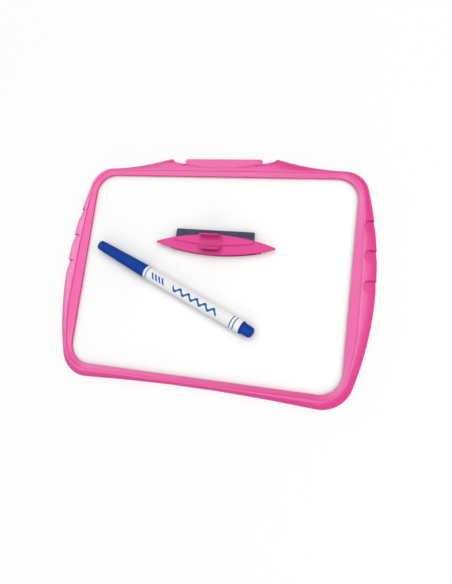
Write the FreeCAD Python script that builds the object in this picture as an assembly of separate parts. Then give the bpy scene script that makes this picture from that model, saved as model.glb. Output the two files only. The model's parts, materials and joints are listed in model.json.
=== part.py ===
import FreeCAD
import Part

import math
import os

from FreeCAD import Vector

# A hand-held double-sided dry-wipe board with its dock-on eraser and slim marker, in millimetres.
# The board lies flat with its front face up: X along the long side, Y towards the dock tab, Z up.
# Shapes are drawn about the centre of the writing window and shifted once, at export, so that the
# origin is the middle of the footprint at the level that the board rests on.

# Making allowances: how far cutters run past a face, and how deep fused pieces root in their base
overcut = 1.0
root_depth = 0.4

# Writing window
window_width = 212.0
window_height = 156.0
window_corner_radius = 16.0

# Panel: a stiff core with a writing film on each side, held under the frame's lips
panel_overlap = 3.0
panel_edge_gap = 0.4
panel_face_gap = 0.05
core_thickness = 1.6
film_thickness = 0.25

# Frame section, heights above the parting plane between the two halves
half_height = 5.5
rim_height = 1.5
lip_height = 3.5
lip_round = 0.6
lip_undercut = 1.6
lip_undercut_height = 0.8
ridge_step = 0.6
ridge_round = 0.25
land_width = 0.5
roll_power = 1.45
roll_steps = 10
seam_chamfer = 0.25

# Ridge line round the lip, leaf-shaped along the sides
ridge_reach = 3.6
leaf_reach = 7.3
leaf_widest_y = -27.0

# Outer outline, as reaches beyond the window
grip_reach = 17.0
grip_widest_y = -4.0
upper_shoulder_reach = 8.9
lower_shoulder_reach = 9.8
upper_corner_radius = 18.4
lower_corner_radius = 22.9
bottom_reach = 7.1
bottom_arch_radius = 1400.0

# Hump that carries the dock along the top edge
ramp_foot_reach = 5.9
ramp_foot_inset = 0.8
hump_half_span = 45.0
hump_reach = 14.8
hump_overrun = 20.0

# Dock: an arched seat with a flat tab standing in it
dock_radius = 150.0
seat_reach = 6.5
seat_half_span = 39.4
horn_slope = 1.0
horn_relief = 8.0
tab_width = 63.2
tab_thickness = 2.4
tab_reach = 15.4
tab_corner_radius = 1.8
tab_edge_round = 0.35
tab_root = 1.6

# Finger notches along both grips
notch_top_ys = (47.5, 25.8, 4.1)
notch_height = 9.2
notch_reaches = (7.4, 8.6, 8.9)
notch_runout = 1.0
notch_drop = 0.4
notch_dip_angle = 8.0
notch_side_angle = 3.2

# Locating pegs between the halves, and the cored-out pockets in the grips
peg_radius = 1.6
peg_height = 2.2
peg_fit = 0.1
peg_end_gap = 0.3
peg_upper_y = 45.0
peg_lower_y = -54.0
peg_hump_x = 53.0
pocket_depth = 1.0
pocket_outer_wall = 4.0
pocket_inner_wall = 1.5
pocket_top_y = 38.0
pocket_bottom_y = -47.0

# Eraser: two shells round a slot, with a felt strip on one edge and a pen clip on its face
eraser_place = (3.1, 21.97)
eraser_angle = -0.4
rest_gap = 0.12
eraser_low = 7.0
eraser_high = 8.7
eraser_flatter = 15.0
eraser_upper_radius = 150.0
eraser_tip_radius = 0.8
eraser_edge_round = 0.45
back_plate = 1.2
front_plate = 1.5
sleeve_wall = 3.4
slot_fit = 0.2
slot_side_gap = 1.0
sleeve_peg_radius = 0.8
sleeve_peg_height = 0.8
sleeve_peg_end_gap = 0.1
raised_half_width = 31.7
raised_offset_x = -1.3
raised_height = 0.8
raised_low_y = 0.1
raised_low_radius = 178.0
raised_inset = 0.5
raised_round = 0.35

# Felt strip and the adhesive that holds it
felt_width = 62.3
felt_offset_x = -1.3
felt_outer_edge = 12.4
felt_thickness = 2.35
felt_side_gap = 0.1
tab_end_gap = 0.2
adhesive_thickness = 0.15
adhesive_inset = 0.8

# Pen clip, a C-shaped spring jaw
clip_length = 16.0
clip_offset_x = -2.3
clip_offset_y = 1.5
clip_wall = 0.9
clip_wrap_angle = 28.5
clip_floor_gap = 0.3
clip_mouth_round = 0.4

# Marker, measured along its axis from the cap's tip
marker_place = (-92.7, 17.3)
marker_angle = -23.7
marker_length = 146.0
cap_length = 47.9
cap_mouth_radius = 5.15
cap_mouth_band = 2.6
cap_tip_radius = 3.9
cap_tip_round = 1.2
cap_inner_start = 11.0
cap_inner_tip_radius = 2.4
cap_bore_lead = 1.0
flute_count = 14
flute_radius = 0.8
flute_depth = 0.3
flute_start = 5.0
flute_end = 42.0
barrel_radius = 4.95
barrel_wall = 0.95
neck_length = 9.0
neck_radius = 4.05
neck_wall = 1.05
neck_fit = 0.1
shoulder_wall = 1.0
plug_exposed = 9.8
plug_flange_radius = 5.0
plug_flange_length = 1.0
plug_body_radius = 4.5
plug_tip_radius = 4.1
plug_end_round = 2.4
plug_stub = 5.0
press_fit = 0.05
nib_radius = 1.0
nib_exposed = 6.0
nib_tip_length = 1.6
nib_tip_flat = 0.35
nib_seat_depth = 4.0
nib_fit = 0.05
holder_reach = 13.9
holder_front_radius = 1.75
holder_base_radius = 3.5
holder_collar = 1.0
holder_stub = 7.5
reservoir_radius = 3.6
reservoir_end_gap = 0.2
sleeve_film = 0.2

# Values that follow from the driving dimensions
half_width = window_width / 2
half_window = window_height / 2
corner_y = half_window - window_corner_radius
panel_thickness = core_thickness + 2 * film_thickness
film_top = half_height + panel_thickness / 2
roll_drop = half_height - rim_height
ramp_foot_x = half_width - ramp_foot_inset
hump_apex_x = hump_half_span - hump_overrun
clip_bore_radius = barrel_radius
barrel_bore_radius = barrel_radius - barrel_wall
holder_stub_radius = neck_radius - neck_wall - press_fit
corner_cut = 1 - math.sqrt(0.5)
felt_inner_edge = tab_reach - seat_reach + tab_end_gap - eraser_low
along_x = Vector(1, 0, 0)
along_z = Vector(0, 0, 1)


# Outline helpers. A segment is its start, a point half way along it, and its end.

def straight(start, end):
    return (start, (start + end) * 0.5, end)


def rounded(centre, start, end):
    radius = (start - centre).Length
    outward = (start - centre) + (end - centre)
    return (start, centre + outward.normalize() * radius, end)


def mirrored_point(point):
    return Vector(-point.x, point.y, point.z)


def closed_outline(right_half):
    left_half = [tuple(mirrored_point(p) for p in reversed(segment)) for segment in reversed(right_half)]
    return right_half + left_half


def blended(inner, outer, share):
    pairs = zip(inner, outer)
    return [tuple(a + (b - a) * share for a, b in zip(one, other)) for one, other in pairs]


def edge_at(segment, height):
    start, middle, end = (Vector(p.x, p.y, height) for p in segment)
    if ((start + end) * 0.5 - middle).Length < 1e-6:
        return Part.LineSegment(start, end).toShape()
    return Part.Arc(start, middle, end).toShape()


def wire_at(outline, height):
    return Part.Wire([edge_at(segment, height) for segment in outline])


def prism(outline, bottom, top):
    return Part.Face(wire_at(outline, bottom)).extrude(Vector(0, 0, top - bottom))


def skinned(sections):
    return Part.makeLoft([wire_at(outline, height) for outline, height in sections], True, True)


def arc_radius(run, rise):
    return (run * run + rise * rise) / (2 * rise)


def point_toward(centre, target, radius):
    return centre + (target - centre).normalize() * radius


def circles_meet(first, first_radius, second, second_radius, near):
    apart = second - first
    span = apart.Length
    reach = (first_radius ** 2 - second_radius ** 2 + span ** 2) / (2 * span)
    rise = math.sqrt(first_radius ** 2 - reach ** 2)
    base = first + apart * (reach / span)
    sideways = Vector(-apart.y, apart.x, 0) * (rise / span)
    return min((base + sideways, base - sideways), key=lambda p: (p - near).Length)


def edges_at(shape, height):
    return [e for e in shape.Edges if all(abs(v.Z - height) < 1e-6 for v in e.Vertexes)]


def turned(profile):
    """A turned piece about X. An entry is a point u, r, or an arc's middle point and its end."""
    edges = []
    last = Vector(*profile[-1][-2:], 0)
    for entry in profile:
        end = Vector(*entry[-2:], 0)
        if len(entry) == 4:
            edges.append(Part.Arc(last, Vector(*entry[:2], 0), end).toShape())
        else:
            edges.append(Part.LineSegment(last, end).toShape())
        last = end
    return Part.Face(Part.Wire(edges)).revolve(Vector(0, 0, 0), along_x, 360)


def quarter_round(centre_u, centre_r, radius, side, end_u, end_r):
    """An arc entry for a turned profile, bulging outwards and towards side, minus or plus one."""
    diagonal = radius * math.sqrt(0.5)
    return (centre_u + side * diagonal, centre_r + diagonal, end_u, end_r)


def one_solid(shape):
    return shape.removeSplitter().Solids[0]


# Frame outlines, all drawn with the same run of segments so that they can be blended

def window_outline(grow):
    x, y = half_width + grow, half_window + grow
    corner_x = half_width - window_corner_radius
    low, high = Vector(corner_x, -corner_y), Vector(corner_x, corner_y)
    side = Vector(x, leaf_widest_y)
    return closed_outline([
        straight(Vector(0, -y), Vector(corner_x, -y)),
        rounded(low, Vector(corner_x, -y), Vector(x, -corner_y)),
        straight(Vector(x, -corner_y), side),
        straight(side, Vector(x, corner_y)),
        rounded(high, Vector(x, corner_y), Vector(corner_x, y)),
        straight(Vector(corner_x, y), Vector(hump_apex_x, y)),
        straight(Vector(hump_apex_x, y), Vector(0, y)),
    ])


def ridge_outline(grow):
    corner = window_corner_radius + ridge_reach
    fall = leaf_reach - ridge_reach
    low_radius = arc_radius(leaf_widest_y + corner_y, fall)
    high_radius = arc_radius(corner_y - leaf_widest_y, fall)
    low_centre = Vector(half_width + leaf_reach - low_radius, leaf_widest_y)
    high_centre = Vector(half_width + leaf_reach - high_radius, leaf_widest_y)
    low_x = low_centre.x + math.sqrt((low_radius - corner) ** 2 - (leaf_widest_y + corner_y) ** 2)
    high_x = high_centre.x + math.sqrt((high_radius - corner) ** 2 - (corner_y - leaf_widest_y) ** 2)
    low_corner, high_corner = Vector(low_x, -corner_y), Vector(high_x, corner_y)
    y = half_window + ridge_reach + grow
    side = Vector(half_width + leaf_reach + grow, leaf_widest_y)
    low_join = point_toward(low_centre, low_corner, low_radius + grow)
    high_join = point_toward(high_centre, high_corner, high_radius + grow)
    return closed_outline([
        straight(Vector(0, -y), Vector(low_x, -y)),
        rounded(low_corner, Vector(low_x, -y), low_join),
        rounded(low_centre, low_join, side),
        rounded(high_centre, side, high_join),
        rounded(high_corner, high_join, Vector(high_x, y)),
        straight(Vector(high_x, y), Vector(hump_apex_x, y)),
        straight(Vector(hump_apex_x, y), Vector(0, y)),
    ])


def outer_circles():
    """Centres and radii of the arcs that make one side of the outer outline."""
    low_radius = arc_radius(grip_widest_y + corner_y, grip_reach - lower_shoulder_reach)
    high_radius = arc_radius(corner_y - grip_widest_y, grip_reach - upper_shoulder_reach)
    ramp_rise = hump_reach - ramp_foot_reach
    ramp_radius = arc_radius(ramp_foot_x - hump_half_span, ramp_rise)
    side_x = half_width + grip_reach
    return {
        "arch": (Vector(0, -half_window - bottom_reach - bottom_arch_radius), bottom_arch_radius),
        "low": (Vector(side_x - low_radius, grip_widest_y), low_radius),
        "high": (Vector(side_x - high_radius, grip_widest_y), high_radius),
        "ramp": (Vector(ramp_foot_x, half_window + ramp_foot_reach + ramp_radius), ramp_radius),
    }


def outer_corners():
    circles = outer_circles()
    low_centre = circles_meet(
        circles["low"][0], circles["low"][1] - lower_corner_radius,
        circles["arch"][0], circles["arch"][1] + lower_corner_radius, Vector(half_width, -half_window))
    high_centre = circles_meet(
        circles["high"][0], circles["high"][1] - upper_corner_radius,
        circles["ramp"][0], circles["ramp"][1] + upper_corner_radius, Vector(half_width, half_window))
    return low_centre, high_centre


def ramp_y(x):
    centre, radius = outer_circles()["ramp"]
    return centre.y - math.sqrt(radius ** 2 - (centre.x - x) ** 2)


def grip_x(y):
    centre, radius = outer_circles()["high" if y > grip_widest_y else "low"]
    return centre.x + math.sqrt(radius ** 2 - (y - centre.y) ** 2)


def outer_outline():
    circles = outer_circles()
    low_corner, high_corner = outer_corners()
    bottom = Vector(0, -half_window - bottom_reach)
    widest = Vector(half_width + grip_reach, grip_widest_y)
    arch_end = point_toward(circles["arch"][0], low_corner, circles["arch"][1])
    low_join = point_toward(circles["low"][0], low_corner, circles["low"][1])
    high_join = point_toward(circles["high"][0], high_corner, circles["high"][1])
    ramp_start = point_toward(circles["ramp"][0], high_corner, circles["ramp"][1])
    apex = Vector(hump_apex_x, ramp_y(hump_apex_x))
    return closed_outline([
        rounded(circles["arch"][0], bottom, arch_end),
        rounded(low_corner, arch_end, low_join),
        rounded(circles["low"][0], low_join, widest),
        rounded(circles["high"][0], widest, high_join),
        rounded(high_corner, high_join, ramp_start),
        rounded(circles["ramp"][0], ramp_start, apex),
        straight(apex, Vector(0, apex.y)),
    ])


# Frame halves, drawn with the parting plane at zero height and the face upwards

def roll_height(share):
    """Height of the rounded outer band, from the land at share 0 to the rim at share 1."""
    return rim_height + roll_drop * (1 - share ** roll_power) ** (1 / roll_power)


def roll_shares():
    """Even steps round the outer band's quarter turn, from near the rim up to near the land."""
    turns = [math.pi / 2 * step / roll_steps for step in range(roll_steps - 1, 0, -1)]
    return [math.sin(turn) ** (2 / roll_power) for turn in turns]


def ring_blank():
    outer = outer_outline()
    land = ridge_outline(ridge_round + land_width)
    seam = blended(land, outer, 1 - seam_chamfer / (grip_reach - leaf_reach))
    sections = [(seam, 0), (outer, seam_chamfer), (outer, rim_height)]
    sections += [(blended(land, outer, share), roll_height(share)) for share in roll_shares()]
    sections += [(land, half_height)]
    band_top = half_height - ridge_step
    opening = skinned([
        (window_outline(0), -overcut),
        (window_outline(0), lip_height - lip_round),
        (window_outline(corner_cut * lip_round), lip_height - corner_cut * lip_round),
        (window_outline(lip_round), lip_height),
        (ridge_outline(0), band_top),
        (ridge_outline(0), half_height - ridge_round),
        (ridge_outline(ridge_round), half_height),
        (ridge_outline(ridge_round), half_height + overcut),
    ])
    rebate_top = panel_thickness / 2 + panel_face_gap
    rebate = prism(window_outline(panel_overlap + panel_edge_gap), -overcut, rebate_top)
    undercut = prism(window_outline(lip_undercut), -overcut, rebate_top + lip_undercut_height)
    return skinned(sections).cut(opening).cut([rebate, undercut])


def seat_y(x):
    return half_window + seat_reach + dock_radius - math.sqrt(dock_radius ** 2 - x ** 2)


def seat_room(half_span, slope, bottom):
    """The room above the arched seat, as wide as half_span each way, opening out on a slope."""
    lowest = Vector(0, seat_y(0))
    end = Vector(half_span, seat_y(half_span))
    beyond = half_window + hump_reach + hump_overrun
    out = Vector(end.x + (beyond - end.y) / slope, beyond)
    centre = Vector(0, lowest.y + dock_radius)
    right_half = [rounded(centre, lowest, end), straight(end, out), straight(out, Vector(0, beyond))]
    return prism(closed_outline(right_half), bottom, half_height + overcut)


def seat_cutters():
    """The seat cut right through between the horns, and the eraser's room above the horns' floor."""
    through = seat_room(seat_half_span, horn_slope, -overcut)
    above_horns = seat_room(hump_half_span + horn_relief, horn_slope, tab_thickness / 2)
    return [through, above_horns]


def dock_tab():
    x, top = tab_width / 2, half_window + tab_reach
    foot = seat_y(0) - tab_root
    r = tab_corner_radius
    outline = closed_outline([
        straight(Vector(0, foot), Vector(x, foot)),
        straight(Vector(x, foot), Vector(x, top - r)),
        rounded(Vector(x - r, top - r), Vector(x, top - r), Vector(x - r, top)),
        straight(Vector(x - r, top), Vector(0, top)),
    ])
    tab = prism(outline, 0, tab_thickness / 2)
    return tab.makeFillet(tab_edge_round, edges_at(tab, tab_thickness / 2))


def notch_cutter(blank, top_y, reach):
    """A D-shaped finger notch: deep at its upper step, running out at its lower end."""
    low_y = top_y - notch_height
    middle_y = (top_y + low_y) / 2
    edge_x = grip_x(middle_y)
    bend_x = edge_x - reach + notch_height / 2
    beyond = edge_x + notch_height
    outline = [
        straight(Vector(bend_x, low_y), Vector(beyond, low_y)),
        straight(Vector(beyond, low_y), Vector(beyond, top_y)),
        straight(Vector(beyond, top_y), Vector(bend_x, top_y)),
        (Vector(bend_x, top_y), Vector(edge_x - reach, middle_y), Vector(bend_x, low_y)),
    ]
    footprint = prism(outline, -overcut, half_height + overcut)
    floor_low = -2 * overcut
    around = Part.makeBox(
        reach + 2 * notch_height, 3 * notch_height, half_height - 2 * floor_low,
        Vector(edge_x - reach - notch_height / 2, low_y - notch_height, floor_low))
    deepened = blank.fuse(prism(outer_outline(), floor_low, rim_height / 2))
    floor = deepened.common(around)
    hinge = Vector(edge_x, low_y + notch_runout, 0)
    floor.rotate(hinge, along_x, -notch_dip_angle)
    floor.rotate(hinge, along_z, notch_side_angle)
    floor.translate(-along_z * notch_drop)
    return footprint.cut(floor)


def mirrored_left(shape):
    return shape.mirror(Vector(0, 0, 0), along_x)


def grip_pocket():
    centre, radius = outer_circles()["low"]
    inner_x = half_width + panel_overlap + panel_edge_gap + pocket_inner_wall
    disc_radius = radius - pocket_outer_wall
    deep = pocket_depth + overcut
    disc = Part.makeCylinder(disc_radius, deep, centre - along_z * overcut, along_z)
    corner = Vector(inner_x, pocket_bottom_y, -overcut)
    room = Part.makeBox(grip_reach, pocket_top_y - pocket_bottom_y, deep, corner)
    return disc.common(room)


def peg_centres():
    rebate = panel_overlap + panel_edge_gap
    side_xs = [(half_width + rebate + grip_x(y)) / 2 for y in (peg_upper_y, peg_lower_y)]
    hump_y = (half_window + rebate + ramp_y(peg_hump_x)) / 2
    low_corner, _ = outer_corners()
    slant = Vector(1, -1, 0).normalize()
    panel_corner = Vector(half_width - window_corner_radius, -corner_y)
    inner = panel_corner + slant * (window_corner_radius + rebate)
    outer = low_corner + slant * lower_corner_radius
    right = [
        Vector(side_xs[0], peg_upper_y),
        Vector(side_xs[1], peg_lower_y),
        Vector(peg_hump_x, hump_y),
        (inner + outer) * 0.5,
    ]
    return right + [mirrored_point(p) for p in right]


def half_blank():
    blank = ring_blank()
    notches = [notch_cutter(blank, y, reach) for y, reach in zip(notch_top_ys, notch_reaches)]
    pocket = grip_pocket()
    cutters = notches + [mirrored_left(n) for n in notches]
    cutters += [pocket, mirrored_left(pocket)] + seat_cutters()
    return one_solid(blank.cut(cutters).fuse(dock_tab()))


def frame_halves():
    blank = half_blank()
    socket_depth = peg_height + peg_end_gap
    sockets = [
        Part.makeCylinder(peg_radius + peg_fit, socket_depth + overcut, c - along_z * overcut, along_z)
        for c in peg_centres()]
    front = one_solid(blank.cut(sockets))
    front.translate(Vector(0, 0, half_height))
    rear = blank.mirror(Vector(0, 0, 0), along_z)
    pegs = [
        Part.makeCylinder(peg_radius, peg_height + root_depth, c - along_z * root_depth, along_z)
        for c in peg_centres()]
    rear = one_solid(rear.fuse(pegs))
    rear.translate(Vector(0, 0, half_height))
    return {"frame_front_half": front, "frame_rear_half": rear}


def panel_layers():
    outline = window_outline(panel_overlap)
    core_low = half_height - core_thickness / 2
    core_high = half_height + core_thickness / 2
    return {
        "board_core": prism(outline, core_low, core_high),
        "front_writing_film": prism(outline, core_high, core_high + film_thickness),
        "rear_writing_film": prism(outline, core_low - film_thickness, core_low),
    }


# Eraser, drawn about the middle of its tip line with its back at zero height

slot_height = tab_thickness + slot_fit
eraser_lower_radius = dock_radius + eraser_flatter
front_plate_low = back_plate + slot_height
front_plate_top = front_plate_low + front_plate
raised_top = front_plate_top + raised_height
clip_axis_z = raised_top + clip_floor_gap + clip_bore_radius
felt_reach = felt_width / 2 + abs(felt_offset_x)
slot_half_width = max(tab_width / 2 + slot_side_gap, felt_reach + felt_side_gap)
back_half_width = slot_half_width + sleeve_wall
sleeve_hole_depth = sleeve_peg_height + sleeve_peg_end_gap


def lens_outline(inset):
    """The eraser's lens shape, drawn in by inset all round, with rounded tips."""
    low_centre, low_radius = Vector(0, eraser_lower_radius - eraser_low), eraser_lower_radius - inset
    high_centre, high_radius = Vector(0, eraser_high - eraser_upper_radius), eraser_upper_radius - inset
    tip = eraser_tip_radius - min(inset, eraser_tip_radius / 2)
    far = Vector(eraser_upper_radius, 0)
    tip_centre = circles_meet(low_centre, low_radius - tip, high_centre, high_radius - tip, far)
    low_join = point_toward(low_centre, tip_centre, low_radius)
    high_join = point_toward(high_centre, tip_centre, high_radius)
    bottom = Vector(0, low_centre.y - low_radius)
    top = Vector(0, high_centre.y + high_radius)
    return closed_outline([
        rounded(low_centre, bottom, low_join),
        rounded(tip_centre, low_join, high_join),
        rounded(high_centre, high_join, top),
    ])


def slab(half_x, bottom, top):
    """A box as wide as twice half_x that reaches past the eraser's edges."""
    reach = eraser_low + eraser_high
    return Part.makeBox(2 * half_x, 2 * reach, top - bottom, Vector(-half_x, -reach, bottom))


def sleeve_pegs(radius, bottom, top):
    x = (slot_half_width + back_half_width) / 2
    feet = (Vector(-x, 0, bottom), Vector(x, 0, bottom))
    return [Part.makeCylinder(radius, top - bottom, foot, along_z) for foot in feet]


def raised_pad():
    """The raised pad on the eraser's face: the lens cut to its middle, with a rising lower edge."""
    foot = Vector(raised_offset_x, raised_low_y + raised_low_radius, -root_depth)
    disc = Part.makeCylinder(raised_low_radius, raised_height + root_depth, foot, along_z)
    lens = prism(lens_outline(raised_inset), -root_depth, raised_height)
    middle = slab(raised_half_width, -root_depth, raised_height)
    middle.translate(Vector(raised_offset_x, 0, 0))
    pad = lens.common(disc).common(middle)
    pad = pad.makeFillet(raised_round, edges_at(pad, raised_height))
    pad.translate(Vector(0, 0, front_plate_top))
    return pad


def pen_clip():
    """A C-shaped jaw along X that grips a barrel, open at the top."""
    outer = clip_bore_radius + clip_wall
    start = Vector(clip_offset_x - clip_length / 2, clip_offset_y, clip_axis_z)
    ring = Part.makeCylinder(outer, clip_length, start, along_x)
    bore = Part.makeCylinder(clip_bore_radius, clip_length, start, along_x)
    mouth_z = clip_axis_z + clip_bore_radius * math.sin(math.radians(clip_wrap_angle))
    above = Part.makeBox(clip_length, 2 * outer, outer, Vector(start.x, start.y - outer, mouth_z))
    below = Part.makeBox(clip_length, 2 * outer, front_plate_low, Vector(start.x, start.y - outer, 0))
    foot = Part.makeBox(
        clip_length, outer, clip_axis_z - clip_bore_radius - front_plate_low,
        Vector(start.x, start.y - outer / 2, front_plate_low))
    jaw = ring.cut(bore).cut([above, below])
    jaw = jaw.makeFillet(clip_mouth_round, edges_at(jaw, mouth_z))
    return jaw.fuse(foot.cut(bore))


def eraser_shells():
    plate = prism(lens_outline(0), front_plate_low, front_plate_top)
    plate = plate.makeFillet(eraser_edge_round, edges_at(plate, front_plate_top))
    lens_middle = prism(lens_outline(0), back_plate, front_plate_low)
    walls = lens_middle.common(slab(back_half_width, back_plate, front_plate_low))
    walls = walls.cut(slab(slot_half_width, back_plate, front_plate_low))
    pegs = sleeve_pegs(sleeve_peg_radius, back_plate - sleeve_peg_height, back_plate + root_depth)
    front = one_solid(plate.fuse([walls, raised_pad(), pen_clip()] + pegs))
    back = prism(lens_outline(0), 0, back_plate).common(slab(back_half_width, 0, back_plate))
    holes = sleeve_pegs(sleeve_peg_radius + peg_fit, back_plate - sleeve_hole_depth, back_plate + overcut)
    back = one_solid(back.cut(holes))
    return {"eraser_front_shell": front, "eraser_back_shell": back}


def felt_strip():
    depth = felt_outer_edge - felt_inner_edge
    low = back_plate + adhesive_thickness
    felt_corner = Vector(felt_offset_x - felt_width / 2, felt_inner_edge, low)
    felt = Part.makeBox(felt_width, depth, felt_thickness, felt_corner)
    stick_width = felt_width - 2 * adhesive_inset
    corner = Vector(felt_offset_x - stick_width / 2, felt_inner_edge, back_plate)
    stick = Part.makeBox(stick_width, depth, adhesive_thickness, corner)
    covered = prism(lens_outline(adhesive_inset), back_plate, low)
    return {"eraser_felt": felt, "felt_adhesive_strip": one_solid(stick.common(covered))}


# Marker, drawn along X with the cap's tip at the origin

plug_start = marker_length - plug_exposed
neck_start = cap_length - neck_length
bore_start = cap_length + shoulder_wall
holder_front = neck_start - holder_reach
nib_tip_start = holder_front - nib_exposed
reservoir_end = plug_start - plug_stub - reservoir_end_gap


def cap_radius(u):
    share = (u - cap_tip_round) / (cap_length - cap_mouth_band - cap_tip_round)
    return cap_tip_radius + (cap_mouth_radius - cap_tip_radius) * min(max(share, 0), 1)


def marker_cap():
    bore = neck_radius + neck_fit
    tip_flat = cap_tip_radius - cap_tip_round
    profile = [
        (0, 0),
        (0, tip_flat),
        quarter_round(cap_tip_round, tip_flat, cap_tip_round, -1, cap_tip_round, cap_tip_radius),
        (cap_length - cap_mouth_band, cap_mouth_radius),
        (cap_length, cap_mouth_radius),
        (cap_length, bore),
        (neck_start - cap_bore_lead, bore),
        (cap_inner_start, cap_inner_tip_radius),
        (cap_inner_start, 0),
    ]
    cap = turned(profile)
    sink = flute_radius - flute_depth
    start = Vector(flute_start, cap_radius(flute_start) + sink, 0)
    end = Vector(flute_end, cap_radius(flute_end) + sink, 0)
    flute = Part.makeCylinder(flute_radius, (end - start).Length, start, end - start)
    flute = flute.fuse([Part.makeSphere(flute_radius, p) for p in (start, end)])
    flutes = []
    for index in range(flute_count):
        copy = flute.copy()
        copy.rotate(Vector(0, 0, 0), along_x, 360 * (index + 0.5) / flute_count)
        flutes.append(copy)
    return one_solid(cap.cut(flutes))


def marker_barrel():
    return turned([
        (neck_start, holder_stub_radius + press_fit),
        (neck_start, neck_radius),
        (cap_length, neck_radius),
        (cap_length, barrel_radius),
        (plug_start, barrel_radius),
        (plug_start, barrel_bore_radius),
        (bore_start, barrel_bore_radius),
        (bore_start, holder_stub_radius + press_fit),
    ])


def nib_holder():
    hole = nib_radius + nib_fit
    return turned([
        (holder_front, hole),
        (holder_front, holder_front_radius),
        (neck_start - holder_collar, holder_base_radius),
        (neck_start, holder_base_radius),
        (neck_start, holder_stub_radius),
        (neck_start + holder_stub, holder_stub_radius),
        (neck_start + holder_stub, hole),
    ])


def marker_nib():
    return turned([
        (nib_tip_start, 0),
        (nib_tip_start, nib_tip_flat),
        (nib_tip_start + nib_tip_length, nib_radius),
        (bore_start + nib_seat_depth, nib_radius),
        (bore_start + nib_seat_depth, 0),
    ])


def ink_reservoir():
    start = bore_start + nib_fit
    seat = bore_start + nib_seat_depth + nib_fit
    return turned([
        (start, nib_radius + nib_fit),
        (start, reservoir_radius),
        (reservoir_end, reservoir_radius),
        (reservoir_end, 0),
        (seat, 0),
        (seat, nib_radius + nib_fit),
    ])


def reservoir_sleeve():
    start = bore_start + nib_fit
    return turned([
        (start, reservoir_radius),
        (start, reservoir_radius + sleeve_film),
        (reservoir_end, reservoir_radius + sleeve_film),
        (reservoir_end, reservoir_radius),
    ])


def marker_end_plug():
    body_start = plug_start + plug_flange_length
    round_start = marker_length - plug_end_round
    end_flat = plug_tip_radius - plug_end_round
    return turned([
        (plug_start - plug_stub, 0),
        (plug_start - plug_stub, barrel_bore_radius - press_fit),
        (plug_start, barrel_bore_radius - press_fit),
        (plug_start, plug_flange_radius),
        (body_start, plug_flange_radius),
        (body_start, plug_body_radius),
        (round_start, plug_tip_radius),
        quarter_round(round_start, end_flat, plug_end_round, 1, marker_length, end_flat),
        (marker_length, 0),
    ])


def marker_pieces():
    return {
        "marker_cap": marker_cap(),
        "marker_barrel": marker_barrel(),
        "nib_holder": nib_holder(),
        "marker_nib": marker_nib(),
        "ink_reservoir": ink_reservoir(),
        "reservoir_sleeve": reservoir_sleeve(),
        "marker_end_plug": marker_end_plug(),
    }


# Assembly: everything in place about the window's centre, then one shift to the part's origin

def footprint_middle_y():
    low_corner, _ = outer_corners()
    lowest = low_corner.y - lower_corner_radius
    return (half_window + tab_reach + lowest) / 2


def placed(shape, place, angle, height):
    moved = shape.copy()
    moved.rotate(Vector(0, 0, 0), along_z, angle)
    moved.translate(Vector(place[0], place[1], height))
    return moved


def assembly():
    pieces = {}
    pieces.update(frame_halves())
    pieces.update(panel_layers())
    eraser = {**eraser_shells(), **felt_strip()}
    for name, shape in eraser.items():
        pieces[name] = placed(shape, eraser_place, eraser_angle, film_top + rest_gap)
    lie_height = film_top + rest_gap + max(cap_mouth_radius, plug_flange_radius)
    for name, shape in marker_pieces().items():
        pieces[name] = placed(shape, marker_place, marker_angle, lie_height)
    for shape in pieces.values():
        shape.translate(Vector(0, -footprint_middle_y(), 0))
    return pieces


def main():
    os.makedirs("parts", exist_ok=True)
    for name, shape in assembly().items():
        box = shape.BoundBox
        print(name, shape.isValid(), len(shape.Solids), round(shape.Volume, 1),
              [round(v, 2) for v in (box.XMin, box.XMax, box.YMin, box.YMax, box.ZMin, box.ZMax)])
        shape.exportStep("parts/" + name + ".step")


main()
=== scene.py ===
import json
import math

import bpy
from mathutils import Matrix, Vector

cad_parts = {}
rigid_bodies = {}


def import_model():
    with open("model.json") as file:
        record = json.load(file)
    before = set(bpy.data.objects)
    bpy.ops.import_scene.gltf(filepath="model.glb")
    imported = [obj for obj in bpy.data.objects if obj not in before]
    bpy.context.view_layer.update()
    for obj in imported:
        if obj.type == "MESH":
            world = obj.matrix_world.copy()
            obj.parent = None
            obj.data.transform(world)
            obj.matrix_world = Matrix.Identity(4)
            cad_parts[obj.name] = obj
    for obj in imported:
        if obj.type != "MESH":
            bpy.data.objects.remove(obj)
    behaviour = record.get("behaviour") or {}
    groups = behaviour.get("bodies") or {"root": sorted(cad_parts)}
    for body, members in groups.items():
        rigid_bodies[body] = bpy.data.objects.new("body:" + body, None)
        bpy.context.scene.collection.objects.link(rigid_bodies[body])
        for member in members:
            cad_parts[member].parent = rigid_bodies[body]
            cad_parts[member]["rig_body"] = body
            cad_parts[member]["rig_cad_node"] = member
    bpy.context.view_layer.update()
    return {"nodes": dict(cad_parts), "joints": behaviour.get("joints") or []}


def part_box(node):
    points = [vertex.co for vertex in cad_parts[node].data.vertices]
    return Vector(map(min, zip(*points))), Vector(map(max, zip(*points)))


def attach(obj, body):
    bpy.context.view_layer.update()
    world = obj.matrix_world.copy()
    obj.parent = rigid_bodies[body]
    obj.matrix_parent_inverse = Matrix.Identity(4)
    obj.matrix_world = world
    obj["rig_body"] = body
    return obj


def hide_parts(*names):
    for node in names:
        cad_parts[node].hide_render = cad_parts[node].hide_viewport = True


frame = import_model()
mm = 0.001                             # a size in millimetres is written as a number times this
print("frame loaded:", len(frame["nodes"]), "nodes")


# Small helpers

meshClean = {
    "mergeGap": 0.002 * mm,            # points this close become one
    "sliver": 0.02 * mm,               # edges this short go
}


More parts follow.
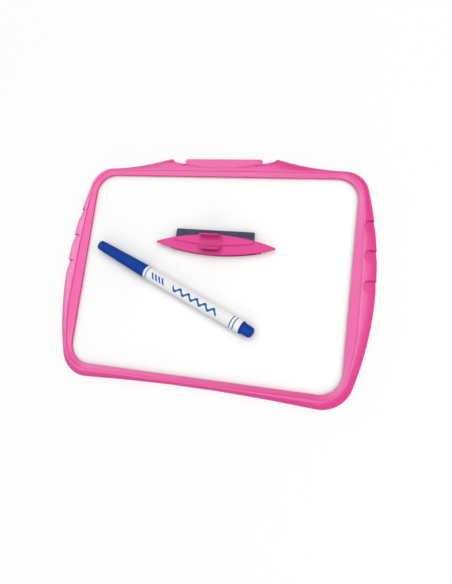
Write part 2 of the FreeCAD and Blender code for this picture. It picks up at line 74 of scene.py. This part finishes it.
def hexToLinear(code):                 # a screen colour's linear light, by the sRGB curve
    channels = [int(code[i:i + 2], 16) / 255 for i in (1, 3, 5)]
    linear = [c / 12.92 if c <= 0.04045 else ((c + 0.055) / 1.055) ** 2.4 for c in channels]
    return (*linear, 1.0)


def addNode(tree, kind, settings=None, links=None):     # one shader node, its values and its wires
    node = tree.nodes.new(kind)
    for name, value in (settings or {}).items():
        if isinstance(name, int) or name in node.inputs:
            node.inputs[name].default_value = value
        else:
            setattr(node, name, value)
    for name, source in (links or {}).items():
        tree.links.new(source, node.inputs[name])
    return node


def newMaterial(name):                 # an empty material with its shader wired to the output
    material = bpy.data.materials.new(name)
    material.use_nodes = True
    tree = material.node_tree
    tree.nodes.clear()
    shader = addNode(tree, "ShaderNodeBsdfPrincipled")
    addNode(tree, "ShaderNodeOutputMaterial", links={"Surface": shader.outputs[0]})
    place = addNode(tree, "ShaderNodeTexCoord").outputs["Object"]
    return material, tree, shader, place


def pickOnly(thing):
    bpy.ops.object.select_all(action="DESELECT")
    thing.select_set(True)
    bpy.context.view_layer.objects.active = thing


def copyFromCad(nodeName, pieceName):  # a merged copy of a CAD node, which the copy then stands for
    pickOnly(frame["nodes"][nodeName])
    bpy.ops.object.duplicate()
    piece = bpy.context.object
    piece.name = pieceName
    piece.data.name = pieceName
    piece.parent = None
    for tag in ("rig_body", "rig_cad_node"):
        del piece[tag]
    bpy.ops.object.mode_set(mode="EDIT")
    bpy.ops.mesh.select_all(action="SELECT")
    bpy.ops.mesh.remove_doubles(threshold=meshClean["mergeGap"])
    bpy.ops.object.mode_set(mode="OBJECT")
    return piece


def dissolveFlats(piece, angle):       # joins the triangles of each flat face
    pickOnly(piece)
    bpy.ops.object.mode_set(mode="EDIT")
    bpy.ops.mesh.select_all(action="SELECT")
    bpy.ops.mesh.dissolve_degenerate(threshold=meshClean["sliver"])
    bpy.ops.mesh.select_all(action="SELECT")
    bpy.ops.mesh.dissolve_limited(angle_limit=math.radians(angle))
    bpy.ops.object.mode_set(mode="OBJECT")


def smoothBelow(piece, angle):         # smooth across gentle edges, crisp at sharper ones
    pickOnly(piece)
    bpy.ops.object.shade_smooth_by_angle(angle=math.radians(angle))
    weighted = piece.modifiers.new("largeFacesLead", "WEIGHTED_NORMAL")
    weighted.mode = "FACE_AREA"
    weighted.keep_sharp = True
    bpy.ops.object.modifier_apply(modifier=weighted.name)


def coat(piece, material):
    piece.data.materials.clear()
    piece.data.materials.append(material)


def dress(piece, material, body, slotName, *nodeNames):        # a piece's finish and its place in the part
    coat(piece, material)
    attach(piece, body)
    if nodeNames:
        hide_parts(*nodeNames)


# Materials

barrelLow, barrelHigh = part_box("marker_barrel")
barrelAxis = next(joint["axis"] for joint in frame["joints"] if joint["name"] == "uncap")
barrelRadius = (barrelHigh.z - barrelLow.z) / 2 / mm
barrelInk = {                          # places along the barrel are in millimetres from its middle
    "ink": "#0d63ad",
    "rings": ((-37.4, 0.4), (40.6, 0.45), (43.4, 0.45)),      # middle and half width of each ring
    "bars": {"middle": -26.4, "halfRun": 6.4, "halfHeight": 2.2, "pitch": 3.2, "share": 0.55, "slant": 0.7},
    "wave": {"middle": 8.0, "halfRun": 20.5, "length": 7.6, "swing": 1.6, "halfStroke": 1.15},
}


def barrelPrint(tree, place):
    # screen-printed ink: rings, slanted bars and a wavy stroke, laid along the barrel and round its top
    local = addNode(tree, "ShaderNodeMapping", {
        "vector_type": "TEXTURE", "Location": (barrelLow + barrelHigh) / 2,
        "Rotation": (0, 0, math.atan2(barrelAxis[1], barrelAxis[0])), "Scale": (mm, mm, mm),
    }, {"Vector": place})
    split = addNode(tree, "ShaderNodeSeparateXYZ", None, {0: local.outputs[0]})
    along = split.outputs["X"]
    turn = addNode(tree, "ShaderNodeMath", {"operation": "ARCTAN2"}, {
        0: split.outputs["Y"], 1: split.outputs["Z"],
    })
    across = addNode(tree, "ShaderNodeMath", {"operation": "MULTIPLY", 1: barrelRadius}, {
        0: turn.outputs[0],
    })

    bars = barrelInk["bars"]
    lean = addNode(tree, "ShaderNodeMath", {"operation": "MULTIPLY_ADD", 1: bars["slant"]}, {
        0: across.outputs[0], 2: along,
    })
    count = addNode(tree, "ShaderNodeMath", {"operation": "DIVIDE", 1: bars["pitch"]}, {0: lean.outputs[0]})
    phase = addNode(tree, "ShaderNodeMath", {"operation": "FRACT"}, {0: count.outputs[0]})
    barInk = addNode(tree, "ShaderNodeMath", {"operation": "LESS_THAN", 1: bars["share"]}, {
        0: phase.outputs[0],
    })
    barHeight = addNode(tree, "ShaderNodeMath", {"operation": "COMPARE", 1: 0.0, 2: bars["halfHeight"]}, {
        0: across.outputs[0],
    })
    barRun = addNode(tree, "ShaderNodeMath", {
        "operation": "COMPARE", 1: bars["middle"], 2: bars["halfRun"],
    }, {0: lean.outputs[0]})

    wave = barrelInk["wave"]
    angle = addNode(tree, "ShaderNodeMath", {"operation": "MULTIPLY", 1: 2 * math.pi / wave["length"]}, {
        0: along,
    })
    swing = addNode(tree, "ShaderNodeMath", {"operation": "SINE"}, {0: angle.outputs[0]})
    offset = addNode(tree, "ShaderNodeMath", {"operation": "MULTIPLY_ADD", 1: -wave["swing"]}, {
        0: swing.outputs[0], 2: across.outputs[0],
    })
    strokeInk = addNode(tree, "ShaderNodeMath", {"operation": "COMPARE", 1: 0.0, 2: wave["halfStroke"]}, {
        0: offset.outputs[0],
    })
    strokeRun = addNode(tree, "ShaderNodeMath", {
        "operation": "COMPARE", 1: wave["middle"], 2: wave["halfRun"],
    }, {0: along})

    groups = [(barInk, barHeight, barRun), (strokeInk, strokeRun)]
    for middle, halfWidth in barrelInk["rings"]:
        ring = addNode(tree, "ShaderNodeMath", {"operation": "COMPARE", 1: middle, 2: halfWidth}, {
            0: along,
        })
        groups.append((ring,))
    printed = None
    for group in groups:
        mark = group[0]
        for limit in group[1:]:
            mark = addNode(tree, "ShaderNodeMath", {"operation": "MULTIPLY"}, {
                0: mark.outputs[0], 1: limit.outputs[0],
            })
        if printed:
            mark = addNode(tree, "ShaderNodeMath", {"operation": "MAXIMUM"}, {
                0: mark.outputs[0], 1: printed.outputs[0],
            })
        printed = mark
    return printed.outputs[0]


def mouldedPolypropylene(name, look):
    # injection-moulded polypropylene: satin gloss over a fine spark-eroded grain, with faint flow shading,
    # and painted shade darkening the colour in tight corners
    material, tree, shader, place = newMaterial(name)
    flow = addNode(tree, "ShaderNodeTexNoise", {"Scale": 1 / look["flowSize"], "Detail": 3.0}, {
        "Vector": place,
    })
    shade = addNode(tree, "ShaderNodeMix", {
        "data_type": "RGBA", 6: hexToLinear(look["colour"]), 7: hexToLinear(look["flowColour"]),
    }, {0: flow.outputs["Fac"]})
    if "ink" in look:
        shade = addNode(tree, "ShaderNodeMix", {"data_type": "RGBA", 7: hexToLinear(look["ink"])}, {
            0: barrelPrint(tree, place), 6: shade.outputs[2],
        })
    # painted shade: ambient occlusion darkens the colour in tight corners, where less light gets in and out,
    # and beside nearby pieces where those count
    corner = addNode(tree, "ShaderNodeAmbientOcclusion", {
        "samples": 8, "only_local": look["paintedShadeOwnWallsOnly"], "Distance": look["paintedShadeReach"],
    })
    shade = addNode(tree, "ShaderNodeMix", {"data_type": "RGBA", 6: hexToLinear(look["paintedCornerShade"])}, {
        0: corner.outputs["AO"], 7: shade.outputs[2],
    })
    tree.links.new(shade.outputs[2], shader.inputs["Base Color"])
    grain = addNode(tree, "ShaderNodeTexNoise", {"Scale": 1 / look["grainSize"], "Detail": 2.0}, {
        "Vector": place,
    })
    rough = addNode(tree, "ShaderNodeMapRange", {
        "To Min": look["roughness"] - look["roughnessSpread"],
        "To Max": look["roughness"] + look["roughnessSpread"],
    }, {"Value": grain.outputs["Fac"]})
    tree.links.new(rough.outputs[0], shader.inputs["Roughness"])
    bump = addNode(tree, "ShaderNodeBump", {
        "Strength": look["grainStrength"], "Distance": look["grainDepth"],
    }, {"Height": grain.outputs["Fac"]})
    tree.links.new(bump.outputs[0], shader.inputs["Normal"])
    shader.inputs["IOR"].default_value = look["ior"]
    shader.inputs["Specular IOR Level"].default_value = look["gloss"]
    return material


framePink = {
    "colour": "#d61d80", "flowColour": "#d32683", "flowSize": 45 * mm,
    "grainSize": 0.5 * mm,             # the real grain is about 0.1 mm, drawn coarser so that it shows
    "grainStrength": 0.25, "grainDepth": 0.02 * mm, "roughness": 0.42, "roughnessSpread": 0.05,
    "gloss": 0.5, "ior": 1.49, "paintedCornerShade": "#8c0a4c", "paintedShadeReach": 1.6 * mm,
    "paintedShadeOwnWallsOnly": True,              # only the piece's own walls count, and not what lies beside it
}
# painted shade: within 4.4 mm the eraser darkens to deep magenta, next to the board beneath as well as in
# its own corners
eraserPink = {
    **framePink, "colour": "#da2c85", "flowColour": "#d73388", "flowSize": 25 * mm, "roughness": 0.5,
    "gloss": 0.16, "paintedCornerShade": "#4e0429", "paintedShadeReach": 4.4 * mm, "paintedShadeOwnWallsOnly": False,
}
inkBlue = {
    **framePink, "colour": "#08358f", "flowColour": "#0b409d", "flowSize": 15 * mm, "roughness": 0.38,
    "grainStrength": 0.12, "gloss": 0.05, "paintedCornerShade": "#03164d", "paintedShadeReach": 1 * mm,
}
holderWhite = {
    **framePink, "colour": "#eceff0", "flowColour": "#e4e8ea", "flowSize": 8 * mm, "roughness": 0.4,
    "paintedCornerShade": "#a9b3be",
}
# painted shade: within 9 mm the barrel greys to blue-grey where the board and other pieces lie close
barrelWhite = {
    **framePink, "colour": "#f1f1f2", "flowColour": "#eceef0", "flowSize": 20 * mm, "roughness": 0.34,
    "gloss": 0.05, "paintedCornerShade": "#7f90a2", "paintedShadeReach": 9 * mm, "paintedShadeOwnWallsOnly": False,
    "ink": barrelInk["ink"],
}
coreGrey = {                           # an extruded sheet, with the same build-up as the mouldings
    **framePink, "colour": "#e6e6e2", "flowColour": "#dddcd6", "flowSize": 12 * mm, "roughness": 0.7,
    "paintedCornerShade": "#b4b4ae",
}


def dryWipeFilm():
    # coated polyester film: even and softly shiny, with faint streaks where ink has been wiped away, and
    # painted shade close to whatever touches it
    look = {
        "colour": "#fdfdfd", "wiped": "#fafbfb", "streak": (60 * mm, 6 * mm, 20 * mm), "streakAngle": 24,
        "roughness": (0.42, 0.5), "ior": 1.5, "gloss": 0.06,
        "paintedContactShade": "#d6cabd", "paintedShadeDistance": 5 * mm,       # the shade close to whatever touches the film
    }
    material, tree, shader, place = newMaterial("glossDryWipeFilm")
    stretched = addNode(tree, "ShaderNodeMapping", {
        "Rotation": (0, 0, math.radians(look["streakAngle"])),
        "Scale": tuple(1 / size for size in look["streak"]),
    }, {"Vector": place})
    streaks = addNode(tree, "ShaderNodeTexNoise", {"Scale": 1.0, "Detail": 4.0}, {
        "Vector": stretched.outputs[0],
    })
    shade = addNode(tree, "ShaderNodeMix", {
        "data_type": "RGBA", 6: hexToLinear(look["colour"]), 7: hexToLinear(look["wiped"]),
    }, {0: streaks.outputs["Fac"]})
    # painted shade: ambient occlusion greys the film near the frame's lips and near pieces lying on it
    paintedContactShade = addNode(tree, "ShaderNodeAmbientOcclusion", {"samples": 8, "Distance": look["paintedShadeDistance"]})
    shade = addNode(tree, "ShaderNodeMix", {"data_type": "RGBA", 6: hexToLinear(look["paintedContactShade"])}, {
        0: paintedContactShade.outputs["AO"], 7: shade.outputs[2],
    })
    tree.links.new(shade.outputs[2], shader.inputs["Base Color"])
    rough = addNode(tree, "ShaderNodeMapRange", {
        "To Min": look["roughness"][0], "To Max": look["roughness"][1],
    }, {"Value": streaks.outputs["Fac"]})
    tree.links.new(rough.outputs[0], shader.inputs["Roughness"])
    shader.inputs["IOR"].default_value = look["ior"]
    shader.inputs["Specular IOR Level"].default_value = look["gloss"]
    return material


def pressedFelt():
    # pressed wool felt: matted dark fibres with a soft sheen and hardly any gloss
    look = {
        "dark": "#353a4e", "pale": "#4d5268", "fibre": 0.35 * mm, "clump": 2.5 * mm, "fibreShare": 0.6,
        "darkest": 0.5, "palest": 1.1, "depth": 0.12 * mm, "roughness": 0.95, "gloss": 0.15, "sheen": 0.08,
    }
    material, tree, shader, place = newMaterial("pressedGreyFelt")
    fibres = addNode(tree, "ShaderNodeTexNoise", {"Scale": 1 / look["fibre"], "Detail": 6.0}, {
        "Vector": place,
    })
    clumps = addNode(tree, "ShaderNodeTexNoise", {"Scale": 1 / look["clump"], "Detail": 2.0}, {
        "Vector": place,
    })
    both = addNode(tree, "ShaderNodeMath", {"operation": "MULTIPLY_ADD", 1: look["fibreShare"]}, {
        0: fibres.outputs["Fac"], 2: clumps.outputs["Fac"],
    })
    spread = addNode(tree, "ShaderNodeMapRange", {
        "From Min": look["darkest"], "From Max": look["palest"],
    }, {"Value": both.outputs[0]})
    shade = addNode(tree, "ShaderNodeMix", {
        "data_type": "RGBA", 6: hexToLinear(look["dark"]), 7: hexToLinear(look["pale"]),
    }, {0: spread.outputs[0]})
    tree.links.new(shade.outputs[2], shader.inputs["Base Color"])
    bump = addNode(tree, "ShaderNodeBump", {"Strength": 0.8, "Distance": look["depth"]}, {
        "Height": both.outputs[0],
    })
    tree.links.new(bump.outputs[0], shader.inputs["Normal"])
    shader.inputs["Roughness"].default_value = look["roughness"]
    shader.inputs["Specular IOR Level"].default_value = look["gloss"]
    shader.inputs["Sheen Weight"].default_value = look["sheen"]
    return material


def bondedFibre(name, look):
    # bonded polyester fibre rod: fine strands along the marker, matted together and soaked with ink
    material, tree, shader, place = newMaterial(name)
    strands = addNode(tree, "ShaderNodeMapping", {
        "vector_type": "TEXTURE", "Rotation": (0, 0, math.atan2(barrelAxis[1], barrelAxis[0])),
        "Scale": (look["strandLength"], look["strand"], look["strand"]),
    }, {"Vector": place})
    mat = addNode(tree, "ShaderNodeTexNoise", {"Scale": 1.0, "Detail": 5.0}, {"Vector": strands.outputs[0]})
    shade = addNode(tree, "ShaderNodeMix", {
        "data_type": "RGBA", 6: hexToLinear(look["dark"]), 7: hexToLinear(look["pale"]),
    }, {0: mat.outputs["Fac"]})
    tree.links.new(shade.outputs[2], shader.inputs["Base Color"])
    bump = addNode(tree, "ShaderNodeBump", {"Strength": 0.7, "Distance": look["strand"] / 2}, {
        "Height": mat.outputs["Fac"],
    })
    tree.links.new(bump.outputs[0], shader.inputs["Normal"])
    shader.inputs["Roughness"].default_value = look["roughness"]
    return material


nibFibre = {
    "dark": "#0c2f86", "pale": "#1f52b4", "strand": 0.2 * mm, "strandLength": 4 * mm, "roughness": 0.6,
}
reservoirFibre = {
    "dark": "#0a2a80", "pale": "#2b5cbb", "strand": 0.4 * mm, "strandLength": 12 * mm, "roughness": 0.9,
}


def clearFilm(name, look):
    # thin clear plastic film: see-through with a soft haze and fine rolling marks
    material, tree, shader, place = newMaterial(name)
    haze = addNode(tree, "ShaderNodeTexNoise", {"Scale": 1 / look["hazeSize"], "Detail": 3.0}, {
        "Vector": place,
    })
    rough = addNode(tree, "ShaderNodeMapRange", {
        "To Min": look["roughness"][0], "To Max": look["roughness"][1],
    }, {"Value": haze.outputs["Fac"]})
    tree.links.new(rough.outputs[0], shader.inputs["Roughness"])
    shade = addNode(tree, "ShaderNodeMix", {
        "data_type": "RGBA", 6: hexToLinear(look["clear"]), 7: hexToLinear(look["hazy"]),
    }, {0: haze.outputs["Fac"]})
    tree.links.new(shade.outputs[2], shader.inputs["Base Color"])
    shader.inputs["Transmission Weight"].default_value = look["clearness"]
    shader.inputs["IOR"].default_value = look["ior"]
    return material


sleeveClear = {
    "clear": "#f4f8fb", "hazy": "#e6edf3", "hazeSize": 6 * mm, "roughness": (0.15, 0.3),
    "clearness": 0.9, "ior": 1.49,
}
tapeClear = {
    "clear": "#f2efe4", "hazy": "#e8e2d0", "hazeSize": 2 * mm, "roughness": (0.3, 0.45),
    "clearness": 0.75, "ior": 1.47,
}

framePlastic = mouldedPolypropylene("mouldedPinkPolypropylene", framePink)
eraserPlastic = mouldedPolypropylene("mouldedDeepPinkPolypropylene", eraserPink)
markerPlastic = mouldedPolypropylene("mouldedBluePolypropylene", inkBlue)
holderPlastic = mouldedPolypropylene("mouldedWhitePolypropylene", holderWhite)
barrelPlastic = mouldedPolypropylene("printedWhitePolypropylene", barrelWhite)
coreSheet = mouldedPolypropylene("foamedPolystyreneSheet", coreGrey)
film = dryWipeFilm()
felt = pressedFelt()
nib = bondedFibre("bondedNibFibre", nibFibre)
reservoir = bondedFibre("inkSoakedFibre", reservoirFibre)
sleeve = clearFilm("clearPolypropyleneFilm", sleeveClear)
tape = clearFilm("clearAcrylicTape", tapeClear)
print("materials made")


# Frame and panel

frameFinish = {"flatAngle": 0.8, "smoothAngle": 24}            # degrees
for side in ("front", "rear"):
    half = copyFromCad(f"frame_{side}_half", f"frame_{side}_moulding")
    dissolveFlats(half, frameFinish["flatAngle"])
    smoothBelow(half, frameFinish["smoothAngle"])
    dress(half, framePlastic, "board", "frame_pink", f"frame_{side}_half")
    coat(frame["nodes"][f"{side}_writing_film"], film)
coat(frame["nodes"]["board_core"], coreSheet)
print("frame and panel dressed")


# Eraser

shellFinish = {"smoothAngle": 30}
for side in ("front", "back"):
    shell = copyFromCad(f"eraser_{side}_shell", f"eraser_{side}_moulding")
    smoothBelow(shell, shellFinish["smoothAngle"])
    dress(shell, eraserPlastic, "eraser", "eraser_pink", f"eraser_{side}_shell")

feltLook = {"voxel": 0.35 * mm, "clump": 1.3 * mm, "lift": 0.18 * mm, "level": 0.6, "softening": 3}
strip = copyFromCad("eraser_felt", "felt_strip")
pickOnly(strip)
clumps = bpy.data.textures.new("feltClumps", "CLOUDS")
clumps.noise_scale = feltLook["clump"]
grid = strip.modifiers.new("feltGrid", "REMESH")
grid.mode = "VOXEL"
grid.voxel_size = feltLook["voxel"]
soften = strip.modifiers.new("feltEdges", "SMOOTH")
soften.iterations = feltLook["softening"]
nap = strip.modifiers.new("feltNap", "DISPLACE")
nap.texture = clumps
nap.texture_coords = "LOCAL"
nap.strength = feltLook["lift"]
nap.mid_level = feltLook["level"]
for step in (grid, soften, nap):
    bpy.ops.object.modifier_apply(modifier=step.name)
bpy.ops.object.shade_smooth()
dress(strip, felt, "eraser", "felt_grey", "eraser_felt")
coat(frame["nodes"]["felt_adhesive_strip"], tape)
print("eraser dressed")


# Marker

markerFinish = {"smoothAngle": 30}
for nodeName, body, slotName, plastic in (
        ("marker_cap", "marker_cap", "marker_blue", markerPlastic),
        ("marker_end_plug", "marker_pen", "marker_blue", markerPlastic),
        ("marker_barrel", "marker_pen", "barrel_white", barrelPlastic),
        ("nib_holder", "marker_pen", "holder_white", holderPlastic)):
    piece = copyFromCad(nodeName, nodeName + "_moulding")
    smoothBelow(piece, markerFinish["smoothAngle"])
    dress(piece, plastic, body, slotName, nodeName)
for nodeName, material in (("marker_nib", nib), ("ink_reservoir", reservoir), ("reservoir_sleeve", sleeve)):
    coat(frame["nodes"][nodeName], material)
print("marker dressed")


# Floor, light and camera

stageLook = {"floorSize": 12.0, "floorColour": "#fafafa", "floorGlow": 0.8, "worldLight": 0.45}
bpy.ops.mesh.primitive_plane_add(size=stageLook["floorSize"], location=(0, 0, 0))
floor = bpy.context.object
floor.name = "studio_floor"


def seenDirectly(tree):                # 1 for rays that show the backdrop, 0 for rays that carry its light
    path = addNode(tree, "ShaderNodeLightPath")
    seen = path.outputs["Is Camera Ray"]
    for kind in ("Is Glossy Ray", "Is Transmission Ray"):
        either = addNode(tree, "ShaderNodeMath", {"operation": "MAXIMUM"}, {0: seen, 1: path.outputs[kind]})
        seen = either.outputs[0]
    return seen


def studioWhite():
    # painted white sweep: it takes the shadow, and the camera sees it near white
    material = bpy.data.materials.new("paintedWhiteSweep")
    material.use_nodes = True
    tree = material.node_tree
    tree.nodes.clear()
    paper = addNode(tree, "ShaderNodeBsdfDiffuse", {"Color": hexToLinear(stageLook["floorColour"])})
    glow = addNode(tree, "ShaderNodeEmission", {"Strength": 1.0})
    share = addNode(tree, "ShaderNodeMath", {"operation": "MULTIPLY", 1: stageLook["floorGlow"]}, {
        0: seenDirectly(tree),
    })
    blend = addNode(tree, "ShaderNodeMixShader", None, {
        0: share.outputs[0], 1: paper.outputs[0], 2: glow.outputs[0],
    })
    addNode(tree, "ShaderNodeOutputMaterial", links={"Surface": blend.outputs[0]})
    return material


floor.data.materials.append(studioWhite())

world = bpy.data.worlds.new("softRoom")
bpy.context.scene.world = world
world.use_nodes = True
sky = world.node_tree
sky.nodes.clear()
strength = addNode(sky, "ShaderNodeMapRange", {"To Min": stageLook["worldLight"], "To Max": 1.0}, {
    "Value": seenDirectly(sky),
})
roomLight = addNode(sky, "ShaderNodeBackground", {"Color": (1, 1, 1, 1)}, {"Strength": strength.outputs[0]})
addNode(sky, "ShaderNodeOutputWorld", links={"Surface": roomLight.outputs[0]})

softbox = {"diffuse": True, "gloss": False, "colour": "#fffaf5"}       # lights surfaces, unseen in the gloss
glossCard = {"diffuse": False, "gloss": True, "colour": "#cdfbff"}     # cool white, seen in the gloss alone
lamps = {                              # places and sizes in metres, power in watts
    "skyPanel": {**softbox, "place": (0.4, 0.7, 2.2), "size": 2.8, "power": 21.0, "colour": "#ffffff"},
    "rightFill": {**softbox, "place": (1.5, -0.1, 1.4), "size": 1.5, "power": 14.5},
    "frontFill": {**softbox, "place": (0.4, -1.7, 0.9), "size": 1.4, "power": 8.0},
    "overheadCard": {**glossCard, "place": (-0.62, 0.2, 1.4), "size": 2.9, "power": 84.0},
    "sideCard": {**glossCard, "place": (-1.7, 0.8, 0.5), "size": 2.2, "power": 60.0},
    "innerCard": {**glossCard, "place": (0.45, 0.2, 1.4), "size": 0.8, "power": 11.0},
    "nearCard": {**glossCard, "place": (-0.5, -1.0, 1.2), "size": 0.9, "power": 14.0},
}
for name, lamp in lamps.items():
    bpy.ops.object.light_add(type="AREA", location=lamp["place"])
    light = bpy.context.object
    light.name = name
    light.rotation_euler = (-Vector(lamp["place"])).to_track_quat("-Z", "Y").to_euler()
    light.data.shape = "DISK"
    light.data.size = lamp["size"]
    light.data.energy = lamp["power"]
    light.data.color = hexToLinear(lamp["colour"])[:3]
    light.visible_diffuse = lamp["diffuse"]
    light.visible_glossy = lamp["gloss"]

cameraLook = {                         # the turn is in degrees, the lens and the sensor in plain millimetres
    "place": (120.757 * mm, -67.541 * mm, 363.167 * mm), "turn": (10.1193, 15.2721, 7.3649),
    "lens": 30.853, "sensor": 36.0, "nearest": 10 * mm,
}
bpy.ops.object.camera_add(location=cameraLook["place"])
camera = bpy.context.object
camera.rotation_euler = [math.radians(angle) for angle in cameraLook["turn"]]
camera.data.lens = cameraLook["lens"]
camera.data.sensor_width = cameraLook["sensor"]
camera.data.clip_start = cameraLook["nearest"]
bpy.context.scene.camera = camera
bpy.context.scene.view_settings.view_transform = "Standard"
print("stage, light and camera set")
